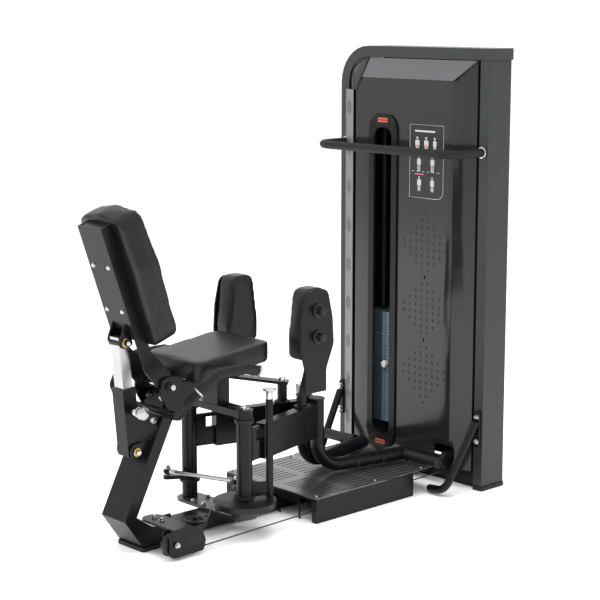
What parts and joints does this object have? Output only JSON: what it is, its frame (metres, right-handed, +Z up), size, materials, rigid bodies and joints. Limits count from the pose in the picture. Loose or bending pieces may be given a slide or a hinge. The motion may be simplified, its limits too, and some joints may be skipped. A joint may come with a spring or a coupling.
{
  "type": "hip abductor machine",
  "caption": "Seated hip abductor machine: two swinging thigh arms turn a cam that lifts a covered weight stack; the backrest reclines.",
  "frame": {"origin": "on the floor under the middle of the tower's base beam", "axes": "+X to the right seen from behind the seat, +Y from the seat towards the tower, +Z up"},
  "size_m": [0.725, 1.5345, 1.55],
  "materials": {
    "tower_paint": "semi-gloss dark grey paint",
    "frame_paint": "satin black paint",
    "cover": "glossy near-black sheet cover",
    "upholstery": "smooth black upholstery with a soft sheen",
    "rubber": "matte black rubber and foam",
    "chrome": "polished",
    "plates": "dark blue-grey weight plates",
    "wheel": "black nylon",
    "cable": "black coated cable",
    "bracket": "light grey plated bracket"
  },
  "bodies": {
    "frame": {"tower_arch": "tower_paint", "tower_right_post": "tower_paint", "tower_foot_right": "rubber", "tower_foot_left": "rubber", "tower_base_beam": "frame_paint", "front_cover": "cover", "rear_cover": "cover", "window_bezel": "frame_paint", "tower_handle": "rubber", "resting_plates": "plates", "guide_rod_left": "chrome", "guide_rod_right": "chrome", "stack_buffer": "rubber", "drive_cable": "cable", "stack_cable": "cable", "rear_pulley_bracket": "frame_paint", "rear_post": "frame_paint", "rear_foot": "rubber", "base_beam": "frame_paint", "deck_box": "frame_paint", "deck_plate": "frame_paint", "brace_right": "frame_paint", "brace_left": "frame_paint", "pivot_base_plate": "bracket", "pivot_head_frame": "frame_paint", "seat_pad": "upholstery", "seat_frame": "frame_paint", "backrest_hinge_bolt": "chrome", "grip_arm_right": "frame_paint", "grip_arm_left": "frame_paint", "hand_grip_right": "rubber", "hand_grip_left": "rubber"},
    "weight_carriage": {"lifted_plates": "plates", "pin_tether": "cable"},
    "stack_pin": {"selector_pin": "wheel"},
    "rear_wheel": {"rear_pulley": "wheel"},
    "guide_wheel": {"guide_pulley": "wheel"},
    "lower_wheel": {"lower_pulley": "wheel"},
    "upper_wheel_right": {"upper_pulley_right": "wheel"},
    "upper_wheel_left": {"upper_pulley_left": "wheel"},
    "right_arm": {"right_arm_beam": "frame_paint", "right_foot_tube": "frame_paint", "right_foot_peg": "rubber", "right_pad_bracket": "frame_paint", "right_pad": "upholstery", "selector_post": "frame_paint"},
    "left_arm": {"left_arm_beam": "frame_paint", "left_foot_tube": "frame_paint", "left_foot_peg": "rubber", "left_pad_bracket": "frame_paint", "left_pad": "upholstery"},
    "cam": {"right_cam": "wheel"},
    "rod": {"link_rod": "chrome"},
    "start_pin": {"selector_pull_pin": "chrome"},
    "backrest": {"backrest_pad": "upholstery", "backrest_bracket": "frame_paint"},
    "strut_outer": {"strut_sleeve": "frame_paint"},
    "strut_inner": {"strut_bar": "chrome"},
    "recline_pin": {"recline_knob": "chrome"}
  },
  "joints": [
    {"name": "right_arm_swing", "type": "hinge", "parent": "frame", "child": "right_arm", "pos_m": [0.14, -0.98, 0.2], "axis": [0, 0, -1], "range_deg": [0, 45]},
    {"name": "left_arm_swing", "type": "hinge", "parent": "frame", "child": "left_arm", "pos_m": [-0.14, -0.98, 0.2], "axis": [0, 0, 1], "range_deg": [0, 45]},
    {"name": "cam_turn", "type": "hinge", "parent": "frame", "child": "cam", "pos_m": [0.14, -0.98, 0.105], "axis": [0, 0, -1], "range_deg": [0, 45]},
    {"name": "link_rod_turn", "type": "hinge", "parent": "left_arm", "child": "rod", "pos_m": [-0.1775, -1.045, 0.157], "axis": [0, 0, 1], "range_deg": [-34, 1]},
    {"name": "weight_lift", "type": "slide", "parent": "frame", "child": "weight_carriage", "axis": [0, 0, 1], "range_m": [0, 0.085], "deforming": ["stack_cable"]},
    {"name": "stack_pin_pull", "type": "slide", "parent": "weight_carriage", "child": "stack_pin", "axis": [0, -1, 0], "range_m": [0, 0.04]},
    {"name": "rear_wheel_turn", "type": "hinge", "parent": "frame", "child": "rear_wheel", "pos_m": [0.185, -1.315, 0.053], "axis": [-1, 0, 0], "range_deg": [-1, 140]},
    {"name": "guide_wheel_turn", "type": "hinge", "parent": "frame", "child": "guide_wheel", "pos_m": [0.149, -1.196, 0.089], "axis": [0, 0, 1], "range_deg": [-1, 140]},
    {"name": "lower_wheel_turn", "type": "hinge", "parent": "frame", "child": "lower_wheel", "pos_m": [0.206, -0.066, 0.088], "axis": [-1, 0, 0], "range_deg": [-1, 140]},
    {"name": "upper_wheel_right_turn", "type": "hinge", "parent": "frame", "child": "upper_wheel_right", "pos_m": [0.17, -0.03, 1.44], "axis": [0, 1, 0], "range_deg": [-1, 140]},
    {"name": "upper_wheel_left_turn", "type": "hinge", "parent": "frame", "child": "upper_wheel_left", "pos_m": [-0.062, -0.03, 1.44], "axis": [0, 1, 0], "range_deg": [-1, 140]},
    {"name": "start_pin_pull", "type": "slide", "parent": "right_arm", "child": "start_pin", "axis": [0, 0, 1], "range_m": [0, 0.018], "stiffness_N_per_m": 400},
    {"name": "backrest_recline", "type": "hinge", "parent": "frame", "child": "backrest", "pos_m": [0, -1.226, 0.517], "axis": [1, 0, 0], "range_deg": [-8, 12]},
    {"name": "strut_swing", "type": "hinge", "parent": "frame", "child": "strut_outer", "pos_m": [0, -1.336, 0.32], "axis": [1, 0, 0], "range_deg": [-5, 7]},
    {"name": "strut_slide", "type": "slide", "parent": "strut_outer", "child": "strut_inner", "axis": [0, -0.0903, 0.9959], "range_m": [-0.03, 0.02]},
    {"name": "recline_pin_pull", "type": "slide", "parent": "strut_outer", "child": "recline_pin", "axis": [1, 0, 0], "range_m": [0, 0.012], "stiffness_N_per_m": 400}
  ],
  "couplings": [
    {"joint": "left_arm_swing", "follows": "right_arm_swing", "ratio": 1},
    {"joint": "cam_turn", "follows": "right_arm_swing", "ratio": 1},
    {"joint": "link_rod_turn", "follows": "right_arm_swing", "ratio": -0.72},
    {"joint": "weight_lift", "follows": "right_arm_swing", "m_per_rad": 0.1071},
    {"joint": "rear_wheel_turn", "follows": "right_arm_swing", "ratio": 2.975},
    {"joint": "guide_wheel_turn", "follows": "right_arm_swing", "ratio": 2.975},
    {"joint": "lower_wheel_turn", "follows": "right_arm_swing", "ratio": 2.975},
    {"joint": "upper_wheel_right_turn", "follows": "right_arm_swing", "ratio": 2.975},
    {"joint": "upper_wheel_left_turn", "follows": "right_arm_swing", "ratio": 2.975},
    {"joint": "strut_swing", "follows": "backrest_recline", "ratio": 0.4735},
    {"joint": "strut_slide", "follows": "backrest_recline", "m_per_rad": -0.1315}
  ]
}
